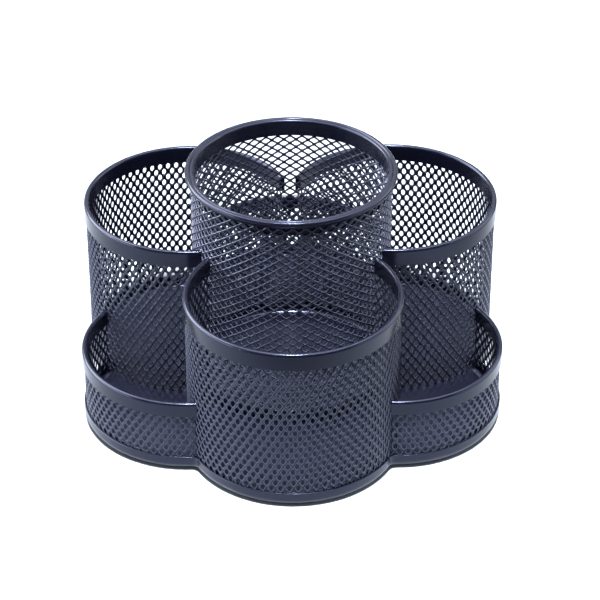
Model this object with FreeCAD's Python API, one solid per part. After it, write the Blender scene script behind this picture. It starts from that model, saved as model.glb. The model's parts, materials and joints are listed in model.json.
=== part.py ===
"""Desk organizer of black powder-coated steel mesh, in FreeCAD, millimetres.

Seven round compartments share one pressed steel base pan with a six-lobed outline: a tall pen cup in
the middle, three medium cups 120 degrees apart around it, and three low trays between the medium cups.
Each compartment has a wall of expanded steel mesh, gripped at its top edge by a folded steel rim. The
mesh is modelled as a plain sheet of its overall thickness. Rubber pads under the lobes carry the pan.

The origin is on the desk, under the axis of the middle cup. +Z is up, and the front medium cup lies
towards -Y. Every compartment is a circle, and neighbouring circles overlap, so an outer wall is an open
arc: a medium cup's wall ends on the middle cup, and a tray's wall ends on the two medium cups beside it.
"""
import FreeCAD
import Part

import math
import os

from FreeCAD import Vector

# Layout
LOBE_COUNT = 6
LOBE_PITCH = 45.2          # axis of the middle cup to the axis of each outer compartment
MIDDLE_HEIGHT = 92.5       # rim heights above the desk
MEDIUM_HEIGHT = 67.0
TRAY_HEIGHT = 30.3

# Sheet and mesh
MESH_THICKNESS = 0.8       # overall thickness of the expanded mesh
SHEET = 0.6                # steel of the pans
LOBE_MESH_OUTER = 39.4     # outer radius of the outer compartments' mesh
MIDDLE_MESH_OUTER = 37.6   # outer radius of the middle cup's mesh

# Base pan
CLEARANCE = 0.6            # desk to the underside of the base pan's bend
FLOOR_INSET = 4.0          # outline of the base pan to the edge of its raised floor
STEP_RADIUS = 0.8          # rounding of the raised floor's edge
PAD_RADIUS = 6.0
PAD_OFFSET = 25.0          # axis of a lobe to the axis of its pad, outwards
FLANGE_HEIGHT = 5.7        # underside of a pan to the top of its flange
BEND_RADIUS = 3.0          # outside radius between a pan's floor and its flange
NOTCH_RADIUS = 3.0         # outside radius of the pan's outline between two lobes
EDGE_RADIUS = 0.25         # rounding of the flange's top edge

# Rims of the outer compartments: a strip folded over the mesh
RIM_HEIGHT = 6.6           # of the cups' rims, the middle cup's too
TRAY_RIM_HEIGHT = 5.7
RIM_LEG = 0.6              # thickness of the strip's two legs

# Rim of the middle cup: two ridges along its top, a tall leg inside the mesh and a rolled bead outside
BEAD_REACH = 1.9           # how far the bead stands out from the mesh
BEAD_HEIGHT = 3.1
BEAD_SIDE = 0.3            # straight height of the bead's outer side
OUTER_RIDGE = 0.95         # radius of the outer ridge's round
INNER_RIDGE = 0.8          # radius of the inner ridge's round
INNER_LEG = 0.5            # thickness of the leg
SLOT_DEPTH = 1.3           # the rim's top down to the mesh's top edge

# Worked out from the above
FLOOR = CLEARANCE + BEND_RADIUS         # the raised floor is level with the foot of the flange
MIDDLE_FLOOR = FLOOR + SHEET
MIDDLE_WALL_FOOT = FLOOR + BEND_RADIUS  # where the flange of the middle cup's pan begins to stand straight
PAD_THICKNESS = FLOOR - SHEET
LOBE_MESH_INNER = LOBE_MESH_OUTER - MESH_THICKNESS
MIDDLE_MESH_INNER = MIDDLE_MESH_OUTER - MESH_THICKNESS
PAN_RADIUS = LOBE_MESH_OUTER + SHEET
MIDDLE_PAN_RADIUS = MIDDLE_MESH_OUTER + SHEET
FAR = 300.0                # longer than the object, for cutting tools

# Outer compartments, each with its direction from the middle cup in degrees from +X
MEDIUM_CUPS = {"front_cup": -90.0, "rear_right_cup": 30.0, "rear_left_cup": 150.0}
TRAYS = {"front_right_tray": -30.0, "rear_tray": 90.0, "front_left_tray": 210.0}


def polar(angle_deg, distance, z=0.0):
    """A point at this distance from the Z axis, in the given direction."""
    angle = math.radians(angle_deg)
    return Vector(distance * math.cos(angle), distance * math.sin(angle), z)


def cylinder(centre, radius, bottom, top):
    """An upright solid cylinder between two heights."""
    return Part.makeCylinder(radius, top - bottom, Vector(centre.x, centre.y, bottom))


def tube(centre, inner, outer, bottom, top):
    """An upright tube between two heights."""
    return cylinder(centre, outer, bottom, top).cut(cylinder(centre, inner, bottom, top))


def revolved(edges, centre):
    """A closed profile drawn in the XZ plane, X being the radius, turned about an upright axis at centre."""
    profile = Part.Face(Part.Wire(edges))
    solid = profile.revolve(Vector(0, 0, 0), Vector(0, 0, 1), 360)
    solid.translate(Vector(centre.x, centre.y, 0))
    return solid


def chain(points):
    """Straight edges from each point to the next; points are (radius, height)."""
    places = [Vector(radius, 0, height) for radius, height in points]
    return [Part.LineSegment(a, b).toShape() for a, b in zip(places, places[1:])]


def arc(start, middle, end):
    """An arc through three (radius, height) points."""
    return Part.Arc(*(Vector(radius, 0, height) for radius, height in (start, middle, end))).toShape()


def edges_at(shape, height):
    """The edges that lie wholly at one height."""
    low, high = height - 1e-4, height + 1e-4
    return [e for e in shape.Edges if low < e.BoundBox.ZMin and e.BoundBox.ZMax < high]


def lobed_face(radius, notch, z):
    """The pan's outline: six lobes of this radius, joined by concave arcs of radius notch, as a face."""
    step = 360.0 / LOBE_COUNT
    half_pitch = LOBE_PITCH * math.sin(math.radians(step / 2))
    reach = LOBE_PITCH * math.cos(math.radians(step / 2)) + math.sqrt((radius + notch) ** 2 - half_pitch ** 2)
    edges = []
    for index in range(LOBE_COUNT):
        direction = MEDIUM_CUPS["front_cup"] + index * step
        lobe = polar(direction, LOBE_PITCH, z)
        before = polar(direction - step / 2, reach, z)
        after = polar(direction + step / 2, reach, z)
        next_lobe = polar(direction + step, LOBE_PITCH, z)
        start = lobe + (before - lobe) * (radius / (radius + notch))
        end = lobe + (after - lobe) * (radius / (radius + notch))
        next_start = next_lobe + (after - next_lobe) * (radius / (radius + notch))
        tip = polar(direction, LOBE_PITCH + radius, z)
        hollow = polar(direction + step / 2, reach - notch, z)
        edges.append(Part.Arc(start, tip, end).toShape())
        edges.append(Part.Arc(end, hollow, next_start).toShape())
    return Part.Face(Part.Wire(edges))


def rounded_block(face, height, bend):
    """A face raised to a block, its bottom edge rounded."""
    block = face.extrude(Vector(0, 0, height))
    return block.makeFillet(bend, edges_at(block, face.BoundBox.ZMin))


def pan(outer_face, inner_face):
    """A pressed pan: a flat floor, a rounded bend and an upright flange with a rounded top edge."""
    shell = rounded_block(outer_face, FLANGE_HEIGHT, BEND_RADIUS)
    hollow = rounded_block(inner_face, FLANGE_HEIGHT + SHEET, BEND_RADIUS - SHEET)
    body = shell.cut(hollow)
    return body.makeFillet(EDGE_RADIUS, edges_at(body, outer_face.BoundBox.ZMin + FLANGE_HEIGHT))


def base_pan():
    """The six-lobed pan under all the outer compartments, its floor pressed up above a narrow channel."""
    outer = lobed_face(PAN_RADIUS, NOTCH_RADIUS, CLEARANCE)
    inner = lobed_face(PAN_RADIUS - SHEET, NOTCH_RADIUS + SHEET, CLEARANCE + SHEET)
    step = lobed_face(PAN_RADIUS - FLOOR_INSET, NOTCH_RADIUS + FLOOR_INSET, CLEARANCE)
    hollow = lobed_face(PAN_RADIUS - FLOOR_INSET - SHEET, NOTCH_RADIUS + FLOOR_INSET + SHEET, CLEARANCE)
    raised = step.extrude(Vector(0, 0, FLOOR - CLEARANCE))
    raised = raised.makeFillet(STEP_RADIUS, edges_at(raised, FLOOR))
    return pan(outer, inner).fuse(raised).cut(hollow.extrude(Vector(0, 0, FLOOR - SHEET - CLEARANCE)))


def middle_pan():
    """The middle cup's own round pan, standing on the floor of the base pan."""
    def disc(radius, z):
        return Part.Face(Part.Wire(Part.makeCircle(radius, Vector(0, 0, z))))
    return pan(disc(MIDDLE_PAN_RADIUS, FLOOR), disc(MIDDLE_PAN_RADIUS - SHEET, MIDDLE_FLOOR))


def middle_mesh():
    """The middle cup's mesh tube, inside its pan's flange."""
    return tube(Vector(), MIDDLE_MESH_INNER, MIDDLE_MESH_OUTER, MIDDLE_WALL_FOOT, MIDDLE_HEIGHT - SLOT_DEPTH)


def middle_rim():
    """The middle cup's rim: two ridges on top, a flat leg inside the mesh and a rolled bead outside it."""
    inside, outside = MIDDLE_MESH_INNER - INNER_LEG, MIDDLE_MESH_OUTER + BEAD_REACH
    shoulder = MIDDLE_HEIGHT - OUTER_RIDGE
    inner_axis, outer_axis = inside + INNER_RIDGE, outside - OUTER_RIDGE
    # The groove's bottom, where the circles of the two ridges cross
    span = outer_axis - inner_axis
    along = (INNER_RIDGE ** 2 - OUTER_RIDGE ** 2 + span ** 2) / (2 * span)
    groove = (inner_axis + along, shoulder + math.sqrt(INNER_RIDGE ** 2 - along ** 2))
    side, bead_end = shoulder - BEAD_SIDE, MIDDLE_HEIGHT - BEAD_HEIGHT
    leg_end, slot_top = MIDDLE_HEIGHT - RIM_HEIGHT, MIDDLE_HEIGHT - SLOT_DEPTH
    tuck = ((outside + MIDDLE_MESH_OUTER) / 2 + 0.35, (side + bead_end) / 2 - 0.25)
    edges = [arc((inside, shoulder), (inner_axis, shoulder + INNER_RIDGE), groove)]
    edges.append(arc(groove, (outer_axis, MIDDLE_HEIGHT), (outside, shoulder)))
    edges += chain([(outside, shoulder), (outside, side)])
    edges.append(arc((outside, side), tuck, (MIDDLE_MESH_OUTER, bead_end)))
    edges += chain([(MIDDLE_MESH_OUTER, bead_end), (MIDDLE_MESH_OUTER, slot_top)])
    edges += chain([(MIDDLE_MESH_OUTER, slot_top), (MIDDLE_MESH_INNER, slot_top)])
    edges += chain([(MIDDLE_MESH_INNER, slot_top), (MIDDLE_MESH_INNER, leg_end)])
    edges += chain([(MIDDLE_MESH_INNER, leg_end), (inside, leg_end), (inside, shoulder)])
    return revolved(edges, Vector())


def lobe_rim(centre, height, strip):
    """A strip of this height folded over the mesh of an outer compartment, as a full ring."""
    inside, outside = LOBE_MESH_INNER - RIM_LEG, LOBE_MESH_OUTER + RIM_LEG
    radius = (outside - inside) / 2
    shoulder, leg_end, slot_top = height - radius, height - strip, height - RIM_LEG
    edges = [arc((inside, shoulder), ((inside + outside) / 2, height), (outside, shoulder))]
    edges += chain([(outside, shoulder), (outside, leg_end), (LOBE_MESH_OUTER, leg_end)])
    edges += chain([(LOBE_MESH_OUTER, leg_end), (LOBE_MESH_OUTER, slot_top), (LOBE_MESH_INNER, slot_top)])
    edges += chain([(LOBE_MESH_INNER, slot_top), (LOBE_MESH_INNER, leg_end)])
    edges += chain([(LOBE_MESH_INNER, leg_end), (inside, leg_end), (inside, shoulder)])
    return revolved(edges, centre)


def outermost(shape):
    """The solid of a cut shape that lies furthest from the middle cup."""
    return max(shape.Solids, key=lambda solid: math.hypot(solid.CenterOfMass.x, solid.CenterOfMass.y))


def lobe_wall(centre, height):
    """The mesh of an outer compartment, level with the raised floor at its foot, as a full ring."""
    return tube(centre, LOBE_MESH_INNER, LOBE_MESH_OUTER, FLOOR, height - RIM_LEG)


def middle_keep_out():
    """The room taken by the middle cup: its pan below, and its mesh above."""
    foot = cylinder(Vector(), MIDDLE_PAN_RADIUS, 0, FLOOR + FLANGE_HEIGHT)
    return foot.fuse(cylinder(Vector(), MIDDLE_MESH_OUTER, 0, FAR))


def medium_keep_out():
    """The room taken by the three medium cups, out to the outer face of their mesh."""
    posts = [cylinder(polar(angle, LOBE_PITCH), LOBE_MESH_OUTER, 0, FAR) for angle in MEDIUM_CUPS.values()]
    return posts[0].multiFuse(posts[1:])


def pad(direction):
    """A round rubber pad under one lobe."""
    return cylinder(polar(direction, LOBE_PITCH + PAD_OFFSET), PAD_RADIUS, 0, PAD_THICKNESS)


def build():
    """Every piece of the organizer, by node name."""
    middle_room, medium_room = middle_keep_out(), medium_keep_out()
    parts = {
        "base_pan": base_pan(),
        "middle_cup_pan": middle_pan(),
        "middle_cup_mesh": middle_mesh(),
        "middle_cup_rim": middle_rim(),
    }
    for name, direction in MEDIUM_CUPS.items():
        centre = polar(direction, LOBE_PITCH)
        parts[name + "_mesh"] = outermost(lobe_wall(centre, MEDIUM_HEIGHT).cut(middle_room))
        parts[name + "_rim"] = outermost(lobe_rim(centre, MEDIUM_HEIGHT, RIM_HEIGHT).cut(middle_room))
        parts[name + "_pad"] = pad(direction)
    for name, direction in TRAYS.items():
        centre = polar(direction, LOBE_PITCH)
        parts[name + "_mesh"] = outermost(lobe_wall(centre, TRAY_HEIGHT).cut(medium_room))
        parts[name + "_rim"] = outermost(lobe_rim(centre, TRAY_HEIGHT, TRAY_RIM_HEIGHT).cut(medium_room))
        parts[name + "_pad"] = pad(direction)
    return parts


def main():
    os.makedirs("parts", exist_ok=True)
    for name, shape in build().items():
        if not shape.isValid() or len(shape.Solids) != 1:
            raise ValueError(f"{name}: valid {shape.isValid()}, {len(shape.Solids)} solids")
        shape.Solids[0].exportStep(f"parts/{name}.step")
        box = shape.BoundBox
        print(f"{name}: {box.XLength:.1f} x {box.YLength:.1f} x {box.ZLength:.1f}, {shape.Volume:.0f} mm3")


main()
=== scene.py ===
"""Looks for the steel-mesh desk organizer: expanded-metal walls, powder-coated steel, rubber pads.

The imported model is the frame. Its plain mesh walls are replaced by true lattices of tilted strands;
its rims, pans and pads stay and get materials. Sizes are in metres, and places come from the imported
nodes.
"""

import json
import math

import bmesh
import bpy
from mathutils import Matrix, Vector

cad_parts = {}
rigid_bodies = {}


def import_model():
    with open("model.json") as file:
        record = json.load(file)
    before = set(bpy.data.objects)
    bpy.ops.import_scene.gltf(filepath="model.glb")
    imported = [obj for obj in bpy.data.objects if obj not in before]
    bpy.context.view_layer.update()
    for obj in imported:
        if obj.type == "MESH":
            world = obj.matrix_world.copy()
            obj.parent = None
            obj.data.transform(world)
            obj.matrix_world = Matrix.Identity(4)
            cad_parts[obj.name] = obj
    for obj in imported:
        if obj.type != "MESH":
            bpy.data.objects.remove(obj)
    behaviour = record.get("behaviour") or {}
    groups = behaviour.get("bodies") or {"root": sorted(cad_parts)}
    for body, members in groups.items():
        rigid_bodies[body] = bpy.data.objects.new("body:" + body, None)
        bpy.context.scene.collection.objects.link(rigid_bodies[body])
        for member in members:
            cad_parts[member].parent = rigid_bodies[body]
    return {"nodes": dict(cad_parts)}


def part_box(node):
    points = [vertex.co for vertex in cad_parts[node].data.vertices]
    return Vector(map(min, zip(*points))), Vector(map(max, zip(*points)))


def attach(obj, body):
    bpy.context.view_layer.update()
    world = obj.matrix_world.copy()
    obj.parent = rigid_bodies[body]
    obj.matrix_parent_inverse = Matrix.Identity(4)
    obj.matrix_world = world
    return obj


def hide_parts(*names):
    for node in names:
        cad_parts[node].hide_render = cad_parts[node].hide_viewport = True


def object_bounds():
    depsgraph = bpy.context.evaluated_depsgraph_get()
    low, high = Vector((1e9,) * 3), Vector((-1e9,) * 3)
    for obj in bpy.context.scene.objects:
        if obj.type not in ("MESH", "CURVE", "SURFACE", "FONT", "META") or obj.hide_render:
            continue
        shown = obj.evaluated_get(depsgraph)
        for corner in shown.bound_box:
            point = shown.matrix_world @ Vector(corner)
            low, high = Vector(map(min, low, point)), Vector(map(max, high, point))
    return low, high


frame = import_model()
cad_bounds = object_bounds()

MM = 0.001

# Expanded metal. The long way is the direction of a diamond's longer diagonal.
STRAND_THICKNESS = 0.60 * MM
EDGE_THINNING = 0.70           # thickness of a strand at its edges, as a share of its middle
EDGE_BULGE = 0.24 * MM         # how far the ridge along a strand's side stands out beyond its edges
FRONT_CRISPNESS = 0.45         # rounding of a hole's corners at its front, as a share of the rest
LOBE_LONG_WAY = 4.87 * MM      # outer compartments: long way upright
LOBE_SHORT_WAY = 3.28 * MM
LOBE_STRAND = 0.92 * MM        # width of a strand
LOBE_CORNERS = (0.50 * MM, 0.90 * MM)    # rounding of a hole's long-way and short-way corners
MIDDLE_LONG_WAYS = 50          # middle cup: diamonds round the tube, long way level
MIDDLE_SHORT_WAY = 3.35 * MM
MIDDLE_STRAND = 0.78 * MM
MIDDLE_CORNERS = (0.15 * MM, 0.40 * MM)
MIDDLE_TILT = -0.28 * MM       # how far a cell's top corner stands out of its sheet
MESH_THICKNESS = 0.8 * MM      # of the plain sheets that the lattices replace
TURN_SPARE = 0.06              # extra sheet for the small turn, as a share of its width
CUT_TOLERANCE = 1e-7
WELD_TOLERANCE = 1e-6
SHARP_ANGLE = math.radians(35)     # a bend of more than this is shaded as a crease

# How far each outer wall's mesh is turned in its own sheet, in degrees, anticlockwise as seen from
# outside
MESH_TURN = {"front_cup": 2.8, "rear_right_cup": 0.8, "rear_left_cup": 1.2,
             "front_right_tray": -0.6, "rear_tray": 0.5, "front_left_tray": 0.9}

# How far a cell's left corner, as seen from outside, stands out of its sheet
MESH_TILT = {"front_cup": 0.24 * MM, "rear_right_cup": -0.26 * MM, "rear_left_cup": 0.38 * MM,
             "front_right_tray": -0.24 * MM, "rear_tray": 0.24 * MM, "front_left_tray": 0.24 * MM}

# Directions of the outer compartments from the middle cup, in degrees from +X
MEDIUM_CUPS = {"front_cup": -90.0, "rear_right_cup": 30.0, "rear_left_cup": 150.0}
TRAYS = {"front_right_tray": -30.0, "rear_tray": 90.0, "front_left_tray": 210.0}
CUP_TO_TRAY = 60.0             # between a medium cup and the tray beside it

# The powder coat's colour clean and dusty, the painted highlight along a strand's edges, and the tint
# of its highlights
COAT_CLEAN = (0.0025, 0.0028, 0.007)
COAT_DUSTY = (0.020, 0.021, 0.038)
COAT_EDGE_HIGHLIGHT = (0.042, 0.045, 0.066)
COAT_TINT = (0.66, 0.71, 1.0, 1.0)
RUBBER_DARK = (0.012, 0.012, 0.013)
RUBBER_LIGHT = (0.028, 0.028, 0.030)
FLOOR_DARK = (0.78, 0.80, 0.83)
FLOOR_LIGHT = (0.80, 0.82, 0.85)

# The coat's patches, orange peel and grit, in features per metre
PATCHES = 55.0
PEEL = 1500.0
GRIT = 5200.0
EDGE_HIGHLIGHT_FALLOFF = 7.0             # a higher one keeps the painted highlight closer to the edges

# Studio. The camera's side stays dark.
PANEL_COLOUR = (0.90, 0.93, 1.0)
SIDE_COLOUR = (0.86, 0.90, 1.0)
BEAM_COLOUR = (0.87, 0.93, 1.0)
BEAM_SPOT = (-0.15, 0.17, 0.0)     # the middle of the beam's patch on the floor
BEAM_SPREAD = 13.0
OPEN_SPREAD = 180.0
SKY_COLOUR = (0.80, 0.86, 1.0, 1.0)
SKY_STRENGTH = 0.25
FLOOR_HALF = 3.0               # half the floor's width

# Camera, with its direction in degrees from the front and from level, as for the lights
LENS = 148.8
SENSOR = 36.0
CAMERA_CLIP = 0.05
CAMERA_AZIMUTH = -0.95
CAMERA_ELEVATION = 33.33
CAMERA_DISTANCE = 0.95
TARGET_X = 0.00327
TARGET_HEIGHT = 0.368          # as a share of the object's height


# ---------------------------------------------------------------------------------------- materials

class Nodes:
    """A short way to build one material's node tree."""

    def __init__(self, name):
        self.material = bpy.data.materials.new(name)
        self.material.use_nodes = True
        self.tree = self.material.node_tree
        self.shader = self.tree.nodes["Principled BSDF"]
        self.place = self.add("ShaderNodeTexCoord").outputs["Object"]

    def add(self, kind, **values):
        """A new node. Values named in_... set its sockets, others its properties."""
        node = self.tree.nodes.new(kind)
        for key, value in values.items():
            if key.startswith("in_"):
                node.inputs[key[3:]].default_value = value
            else:
                setattr(node, key, value)
        return node

    def link(self, output, socket):
        self.tree.links.new(output, socket)

    def noise(self, scale, detail=2.0):
        """Noise over the object, at this many features per metre."""
        node = self.add("ShaderNodeTexNoise", in_Scale=scale, in_Detail=detail)
        self.link(self.place, node.inputs["Vector"])
        return node.outputs["Fac"]

    def spread(self, value, low, high):
        """A value from 0 to 1 spread from low to high."""
        node = self.add("ShaderNodeMapRange")
        node.inputs["To Min"].default_value = low
        node.inputs["To Max"].default_value = high
        self.link(value, node.inputs["Value"])
        return node.outputs["Result"]

    def between(self, factor, dark, light):
        """A colour between two, by factor. The first may be another node's output."""
        node = self.add("ShaderNodeMix", data_type="RGBA")
        if isinstance(dark, bpy.types.NodeSocket):
            self.link(dark, node.inputs["A"])
        else:
            node.inputs["A"].default_value = (*dark, 1.0)
        node.inputs["B"].default_value = (*light, 1.0)
        self.link(factor, node.inputs["Factor"])
        return node.outputs["Result"]

    def power(self, value, exponent):
        """A value raised to a power."""
        node = self.add("ShaderNodeMath", operation="POWER")
        node.inputs[1].default_value = exponent
        self.link(value, node.inputs[0])
        return node.outputs["Value"]

    def bump(self, layers):
        """Bumps from (height, strength, distance) layers, one over the other."""
        normal = None
        for height, strength, distance in layers:
            node = self.add("ShaderNodeBump", in_Strength=strength, in_Distance=distance)
            self.link(height, node.inputs["Height"])
            if normal is not None:
                self.link(normal, node.inputs["Normal"])
            normal = node.outputs["Normal"]
        self.link(normal, self.shader.inputs["Normal"])


def powder_coat(name, gloss, roughness, dust):
    """Satin black powder coat with a violet-blue cast, orange peel, fine grit, a little dust and a
    painted highlight along the lattice strands' sides.
    """
    nodes = Nodes(name)
    shader = nodes.shader
    patches = nodes.noise(PATCHES, detail=3.0)
    grit = nodes.noise(GRIT, detail=1.0)
    peel = nodes.noise(PEEL)
    colour = nodes.between(nodes.spread(patches, 0.0, dust), COAT_CLEAN, COAT_DUSTY)
    # Painted highlight: a lighter colour along the strands' sides, 1 there and 0 at their knots;
    # pieces without this attribute read as 0
    edge = nodes.add("ShaderNodeAttribute", attribute_name="edge").outputs["Fac"]
    colour = nodes.between(nodes.power(edge, EDGE_HIGHLIGHT_FALLOFF), colour, COAT_EDGE_HIGHLIGHT)
    nodes.link(colour, shader.inputs["Base Color"])
    gloss_patches = nodes.spread(patches, roughness - 0.04, roughness + 0.06)
    nodes.link(gloss_patches, shader.inputs["Roughness"])
    shader.inputs["Specular IOR Level"].default_value = gloss
    shader.inputs["Specular Tint"].default_value = COAT_TINT
    nodes.bump([(peel, 0.35, 0.03 * MM), (grit, 0.25, 0.012 * MM)])
    return nodes.material


def rubber():
    """Matt black rubber with a fine grain."""
    nodes = Nodes("pad_rubber")
    grain = nodes.noise(3000.0)
    colour = nodes.between(nodes.noise(220.0), RUBBER_DARK, RUBBER_LIGHT)
    nodes.link(colour, nodes.shader.inputs["Base Color"])
    nodes.link(nodes.spread(grain, 0.75, 0.92), nodes.shader.inputs["Roughness"])
    nodes.bump([(grain, 0.4, 0.03 * MM)])
    return nodes.material


# ----------------------------------------------------------------------------------- expanded metal

def rounded_diamond(half_long, half_short, margin, acute_radius, obtuse_radius):
    """The ten points of a hole's edge, as (long way, short way) from its centre.

    The hole is the cell's diamond, drawn in by margin on every side, with rounded corners: three
    points at each long-way corner and two at each short-way corner.
    """
    side = math.hypot(half_long, half_short)
    scale = 1.0 - margin * side / (half_long * half_short)
    tip, flank = half_long * scale, half_short * scale
    along, across = half_long / side, half_short / side
    acute_cut = acute_radius * along / across
    obtuse_cut = obtuse_radius * across / along
    tip_long, tip_short = tip - acute_cut * along, acute_cut * across
    flank_long, flank_short = obtuse_cut * along, flank - obtuse_cut * across
    end = tip - acute_radius / across + acute_radius
    quarter = [(tip_long, tip_short), (flank_long, flank_short)]
    half = quarter + [(-p, q) for p, q in reversed(quarter)]
    return [(end, 0.0)] + half + [(-end, 0.0)] + [(-p, -q) for p, q in half]


# Which of a cell's corners (tip, flank, tip, flank) each point of the hole's edge is joined to
RING_CORNERS = (0, 0, 1, 1, 2, 2, 2, 3, 3, 0)


class Lattice:
    """A flat sheet of expanded metal: x the long way, y the short way, z out of the sheet.

    Knots, where strands cross, are at whole numbers of half long ways and half short ways whose sum
    is even; holes are centred where the sum is odd. The strands lean: a cell's corner towards +y
    stands out of the sheet by tilt, and the one towards -y in.
    """

    def __init__(self, half_long, half_short, strand, corners, tilt):
        self.step = (half_long, half_short)
        self.tilt = tilt
        side, flat = strand / 2, strand / 2 - EDGE_BULGE
        crisp = [radius * FRONT_CRISPNESS for radius in corners]
        self.front_ring = rounded_diamond(half_long, half_short, flat, *crisp)
        self.side_ring = rounded_diamond(half_long, half_short, side, *corners)
        self.back_ring = rounded_diamond(half_long, half_short, flat, *corners)
        self.sheet = bmesh.new()
        # Marks the points along the strands' sides, where the coat gets its painted highlight
        self.edge = self.sheet.verts.layers.float.new("edge")
        self.knots = {}

    def knot(self, i, j):
        """The front and back points of a knot, made once."""
        if (i, j) not in self.knots:
            half = STRAND_THICKNESS / 2
            x, y = i * self.step[0], j * self.step[1]
            self.knots[i, j] = [self.sheet.verts.new((x, y, z)) for z in (half, -half)]
        return self.knots[i, j]

    def ring(self, i, j, outline, lift):
        """The points of one hole's edge at one depth."""
        x, y = i * self.step[0], j * self.step[1]
        slope = self.tilt / self.step[1]
        points = [self.sheet.verts.new((x + along, y + across, slope * across + lift))
                  for along, across in outline]
        # Every point of a hole's edge carries the mark for the painted highlight
        for point in points:
            point[self.edge] = 1.0
        return points

    def hole(self, i, j):
        """One cell: its half of each strand, front and back, and the ridged sides of its hole."""
        edge = STRAND_THICKNESS / 2 * EDGE_THINNING
        front = self.ring(i, j, self.front_ring, edge)
        middle = self.ring(i, j, self.side_ring, 0.0)
        back = self.ring(i, j, self.back_ring, -edge)
        corners = [self.knot(i + 1, j), self.knot(i, j + 1),
                   self.knot(i - 1, j), self.knot(i, j - 1)]
        for n in range(len(front)):
            after = (n + 1) % len(front)
            here, there = corners[RING_CORNERS[n]], corners[RING_CORNERS[after]]
            self.face(here[0], there[0], front[after], front[n])
            self.face(there[1], here[1], back[n], back[after])
            self.face(front[n], front[after], middle[after], middle[n])
            self.face(middle[n], middle[after], back[after], back[n])

    def face(self, *corners):
        """A face; where both its knot corners are the same, a triangle."""
        self.sheet.faces.new(list(dict.fromkeys(corners)))

    def fill(self, long_steps, short_steps):
        """Every cell whose centre is in these ranges of half ways."""
        for i in long_steps:
            for j in short_steps:
                if (i + j) % 2:
                    self.hole(i, j)

    def trim(self, point, outwards):
        """Cut the sheet at a plane, drop what is outside, and close the cut strands."""
        parts = self.sheet.verts[:] + self.sheet.edges[:] + self.sheet.faces[:]
        cut = bmesh.ops.bisect_plane(self.sheet, geom=parts, plane_co=point, plane_no=outwards,
                                     clear_outer=True, dist=CUT_TOLERANCE)
        edges = [e for e in cut["geom_cut"] if isinstance(e, bmesh.types.BMEdge) and e.is_boundary]
        bmesh.ops.edgeloop_fill(self.sheet, edges=edges)

    def finish(self, name):
        """The sheet as an object, smooth but for its creases."""
        bmesh.ops.recalc_face_normals(self.sheet, faces=self.sheet.faces)
        mesh = bpy.data.meshes.new(name)
        self.sheet.to_mesh(mesh)
        self.sheet.free()
        mesh.shade_smooth()
        mesh.set_sharp_from_angle(angle=SHARP_ANGLE)
        piece = bpy.data.objects.new(name, mesh)
        bpy.context.scene.collection.objects.link(piece)
        return piece


def roll(sheet, centre, radius, angle, origin):
    """Wrap a flat sheet on an upright cylinder.

    x runs round it from this angle, y up from the height origin, and z outwards.
    """
    for vert in sheet.verts:
        turn = angle + vert.co.x / radius
        reach = radius + vert.co.z
        vert.co = (centre.x + reach * math.cos(turn), centre.y + reach * math.sin(turn),
                   origin + vert.co.y)
    bmesh.ops.remove_doubles(sheet, verts=sheet.verts, dist=WELD_TOLERANCE)


def middle_lattice():
    """The middle cup's wall: a closed tube with its diamonds lying level."""
    low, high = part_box("middle_cup_mesh")
    radius = (high.x - low.x) / 2 - MESH_THICKNESS / 2
    height = high.z - low.z
    half_long = math.pi * radius / MIDDLE_LONG_WAYS
    half_short = MIDDLE_SHORT_WAY / 2
    lattice = Lattice(half_long, half_short, MIDDLE_STRAND, MIDDLE_CORNERS, MIDDLE_TILT)
    lattice.fill(range(2 * MIDDLE_LONG_WAYS), range(-1, math.ceil(height / half_short) + 2))
    roll(lattice.sheet, (low + high) / 2, radius, 0.0, low.z)
    lattice.trim((0, 0, low.z), (0, 0, -1))
    lattice.trim((0, 0, high.z), (0, 0, 1))
    return lattice.finish("middle_cup_lattice")


def lobe_lattice(node, direction, half_arc, radius, pitch):
    """An outer compartment's wall: an open arc, its diamonds upright but for a small turn."""
    low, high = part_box(node)
    angle = math.radians(direction)
    centre = Vector((pitch * math.cos(angle), pitch * math.sin(angle)))
    half_width, height = half_arc * radius, high.z - low.z
    wall = node.removesuffix("_mesh")
    half_long, half_short = LOBE_LONG_WAY / 2, LOBE_SHORT_WAY / 2
    lattice = Lattice(half_long, half_short, LOBE_STRAND, LOBE_CORNERS, MESH_TILT[wall])
    spare = half_width * TURN_SPARE + LOBE_LONG_WAY
    long_steps = math.ceil((height / 2 + spare) / half_long)
    short_steps = math.ceil((half_width + spare) / half_short)
    lattice.fill(range(-long_steps, long_steps + 1), range(-short_steps, short_steps + 1))
    # From the long way along x to the long way upright, then the small turn
    upright = Matrix.Rotation(math.radians(90 + MESH_TURN[wall]), 4, "Z")
    bmesh.ops.transform(lattice.sheet, matrix=upright, verts=lattice.sheet.verts)
    for reach, outwards in ((half_width, (1, 0, 0)), (height / 2, (0, 1, 0))):
        for side in (1, -1):
            normal = Vector(outwards) * side
            lattice.trim(normal * reach, normal)
    roll(lattice.sheet, centre, radius, angle, (low.z + high.z) / 2)
    return lattice.finish(wall + "_lattice")


def half_arc_to(distance, radius, other):
    """Half the arc of a circle that lies outside another one, whose centre is this far away."""
    cosine = (distance ** 2 + radius ** 2 - other ** 2) / (2 * distance * radius)
    return math.pi - math.acos(cosine)


def replace_wall(piece, node, material):
    """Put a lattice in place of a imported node."""
    piece.data.materials.append(material)
    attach(piece, "root")
    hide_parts(node)


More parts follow.
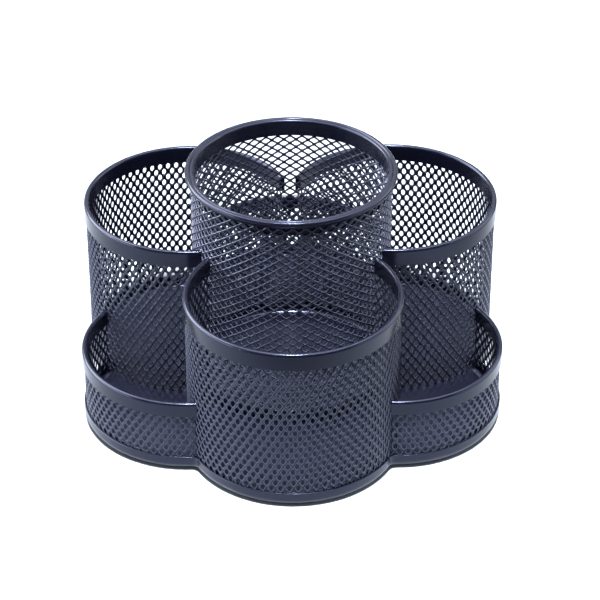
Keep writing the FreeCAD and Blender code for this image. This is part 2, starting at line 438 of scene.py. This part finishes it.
def make_walls(material):
    """Every mesh wall, as a lattice in place of its plain sheet."""
    front_low, front_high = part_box("front_cup_mesh")
    outer = (front_high.x - front_low.x) / 2
    radius = outer - MESH_THICKNESS / 2
    pitch = -(front_low.y + outer)
    middle_low, middle_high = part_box("middle_cup_mesh")
    middle_outer = (middle_high.x - middle_low.x) / 2
    replace_wall(middle_lattice(), "middle_cup_mesh", material)
    medium_arc = half_arc_to(pitch, radius, middle_outer)
    # A tray's wall ends on the medium cups beside it, whose axes are one pitch away from its own
    tray_arc = half_arc_to(pitch, radius, outer) - math.radians(CUP_TO_TRAY)
    for compartments, half_arc in ((MEDIUM_CUPS, medium_arc), (TRAYS, tray_arc)):
        for compartment, direction in compartments.items():
            node = compartment + "_mesh"
            wall = lobe_lattice(node, direction, half_arc, radius, pitch)
            replace_wall(wall, node, material)


# -------------------------------------------------------------------------------------------- stage

def coat_cad_nodes(rim, sheet, pad):
    """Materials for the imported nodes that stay: the rims, the pads and the two pans."""
    coats = {"rim": rim, "pad": pad, "pan": sheet}
    for name, node in frame["nodes"].items():
        kind = name.rpartition("_")[2]
        if kind in coats:
            node.data.materials.clear()
            node.data.materials.append(coats[kind])


def make_floor():
    """A large, plain, pale floor."""
    mesh = bpy.data.meshes.new("floor")
    corners = [(x * FLOOR_HALF, y * FLOOR_HALF, 0) for x, y in ((-1, -1), (1, -1), (1, 1), (-1, 1))]
    mesh.from_pydata(corners, [], [(0, 1, 2, 3)])
    floor = bpy.data.objects.new("floor", mesh)
    bpy.context.scene.collection.objects.link(floor)
    nodes = Nodes("floor_paint")
    colour = nodes.between(nodes.noise(3.0), FLOOR_DARK, FLOOR_LIGHT)
    nodes.link(colour, nodes.shader.inputs["Base Color"])
    nodes.shader.inputs["Roughness"].default_value = 0.6
    nodes.shader.inputs["Specular IOR Level"].default_value = 0.2
    mesh.materials.append(nodes.material)


def softbox(name, target, azimuth, elevation, distance, size, power, colour, beam):
    """An area light aimed at a point. Its direction and its beam's width are in degrees."""
    data = bpy.data.lights.new(name, "AREA")
    data.shape = "RECTANGLE"
    data.size, data.size_y = size
    data.energy = power
    data.spread = math.radians(beam)
    data.color = colour
    light = bpy.data.objects.new(name, data)
    away = direction_from(azimuth, elevation)
    light.location = Vector(target) + away * distance
    light.rotation_euler = away.to_track_quat("Z", "Y").to_euler()
    bpy.context.scene.collection.objects.link(light)
    return light


def direction_from(azimuth, elevation):
    """The unit vector towards a viewer: azimuth 0 is the front, and positive is to the right."""
    azimuth, elevation = math.radians(azimuth), math.radians(elevation)
    level = math.cos(elevation)
    return Vector((math.sin(azimuth) * level, -math.cos(azimuth) * level, math.sin(elevation)))


def make_panel(name, azimuth, elevation, distance, size, power, colour=PANEL_COLOUR):
    """An open panel aimed at the object's middle."""
    middle = (0.0, 0.0, cad_bounds[1][2] / 2)
    return softbox(name, middle, azimuth, elevation, distance, size, power, colour, OPEN_SPREAD)


def make_lights():
    """A white studio that stays dark on the camera's side.

    A beam lights the floor round and behind the object. The panels, behind the object, above it and
    low at its sides, light only the object, more from its left.
    """
    softbox("floor_beam", BEAM_SPOT, azimuth=0.0, elevation=78.0, distance=1.0, size=(0.68, 0.66),
            power=3.6, colour=BEAM_COLOUR, beam=BEAM_SPREAD)
    panels = [
        make_panel("rear_panel", 180.0, 28.0, 1.3, size=(1.60, 0.70), power=4.5),
        make_panel("overhead_panel", 180.0, 85.0, 1.1, size=(1.30, 1.20), power=31.0),
        make_panel("left_rear_panel", -120.0, 40.0, 1.1, size=(0.80, 0.90), power=32.0),
        make_panel("right_rear_panel", 120.0, 40.0, 1.1, size=(0.80, 0.90), power=7.0),
        make_panel("left_panel", -92.0, 12.0, 1.0, (1.30, 0.48), 22.0, SIDE_COLOUR),
        make_panel("right_panel", 92.0, 12.0, 1.0, (1.30, 0.48), 7.5, SIDE_COLOUR),
    ]
    lit = bpy.data.collections.new("lit_by_panels")
    for piece in bpy.data.objects:
        if piece.type == "MESH" and piece.name != "floor":
            lit.objects.link(piece)
    for panel in panels:
        panel.light_linking.receiver_collection = lit


def make_sky():
    """A weak, even, bluish light from all round."""
    world = bpy.data.worlds.new("studio")
    bpy.context.scene.world = world
    world.use_nodes = True
    background = world.node_tree.nodes["Background"]
    background.inputs["Color"].default_value = SKY_COLOUR
    background.inputs["Strength"].default_value = SKY_STRENGTH


def make_camera():
    """A long lens, 33 degrees above the desk, very slightly left of the front."""
    data = bpy.data.cameras.new("camera")
    data.sensor_width = SENSOR
    data.lens = LENS
    data.clip_start = CAMERA_CLIP
    camera = bpy.data.objects.new("camera", data)
    target = Vector((TARGET_X, 0.0, TARGET_HEIGHT * cad_bounds[1][2]))
    away = direction_from(CAMERA_AZIMUTH, CAMERA_ELEVATION)
    camera.location = target + away * CAMERA_DISTANCE
    camera.rotation_euler = away.to_track_quat("Z", "Y").to_euler()
    bpy.context.scene.collection.objects.link(camera)
    bpy.context.scene.camera = camera


make_camera()
make_floor()
make_walls(powder_coat("mesh_coat", gloss=0.34, roughness=0.18, dust=0.05))
coat_cad_nodes(rim=powder_coat("rim_coat", gloss=0.36, roughness=0.18, dust=0.08),
               sheet=powder_coat("sheet_coat", gloss=0.38, roughness=0.24, dust=0.20),
               pad=rubber())
make_lights()
make_sky()
bpy.context.scene.view_settings.view_transform = "Standard"
